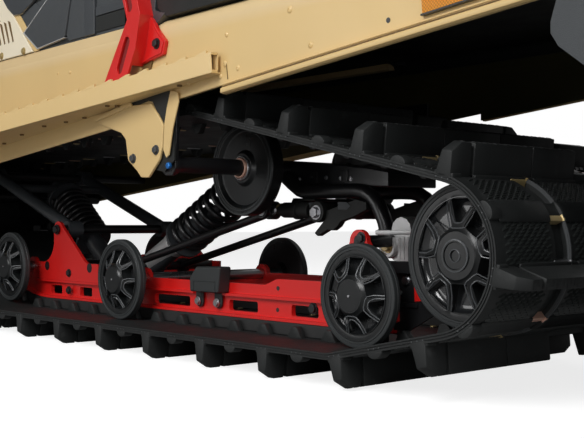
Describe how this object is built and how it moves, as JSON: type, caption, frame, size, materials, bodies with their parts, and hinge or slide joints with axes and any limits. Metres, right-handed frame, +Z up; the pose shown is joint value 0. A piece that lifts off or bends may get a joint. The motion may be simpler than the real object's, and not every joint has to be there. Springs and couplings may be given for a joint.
{
  "type": "snowmobile rear tunnel and track assembly",
  "caption": "Rear tunnel of a snowmobile with running boards, track, wheels, suspension arms, shocks, seat base and a hinged snow flap.",
  "frame": {"origin": "on the ground under the track's lugs, midway along and across the assembly", "axes": "+X forward, +Y to the left, +Z up"},
  "size_m": [2.24, 0.8678, 0.651],
  "materials": {
    "tan_metal": "satin",
    "red_metal": "satin",
    "black_metal": "satin",
    "track_rubber": "matte",
    "tyre_rubber": "matte",
    "wheel_plastic": "satin",
    "dark_plastic": "textured",
    "cream_plastic": "satin",
    "slider_plastic": "waxy",
    "amber": "gloss",
    "cast_metal": "cast",
    "steel": "satin",
    "grey_metal": "satin"
  },
  "bodies": {
    "root": {"tunnel": "tan_metal", "front_bulkhead": "tan_metal", "rear_cap": "dark_plastic", "flap_pin": "steel", "rear_bumper": "black_metal", "hitch": "black_metal", "running_boards": "tan_metal", "board_tubes": "tan_metal", "struts": "red_metal", "drop_brackets": "tan_metal", "shaft_hangers": "black_metal", "tunnel_shaft": "black_metal", "cross_shafts": "black_metal", "rear_arm": "black_metal", "pivot_castings": "cast_metal", "crank_block": "black_metal", "crank_pins": "steel", "levers": "black_metal", "lever_pins": "steel", "pull_rods": "black_metal", "rear_shock": "grey_metal", "rear_spring": "black_metal", "front_shock": "grey_metal", "front_spring": "black_metal", "bump_stops": "tyre_rubber", "front_arm": "grey_metal", "seat_base": "dark_plastic", "side_covers": "cream_plastic", "reflectors": "amber", "drive_axle": "wheel_plastic", "track": "track_rubber", "rails": "red_metal", "sliders": "slider_plastic", "gussets": "red_metal", "bogie_wheels": "wheel_plastic", "wheel_tyres": "tyre_rubber", "idler_wheels": "wheel_plastic", "carrier_wheels": "wheel_plastic", "bogie_axles": "steel", "idler_axle": "steel"},
    "flap": {"snow_flap": "dark_plastic"}
  },
  "joints": [
    {"name": "flap_hinge", "type": "hinge", "parent": "root", "child": "flap", "pos_m": [-1.006, 0, 0.324], "axis": [0, 1, 0], "range_deg": [0, 65]}
  ]
}
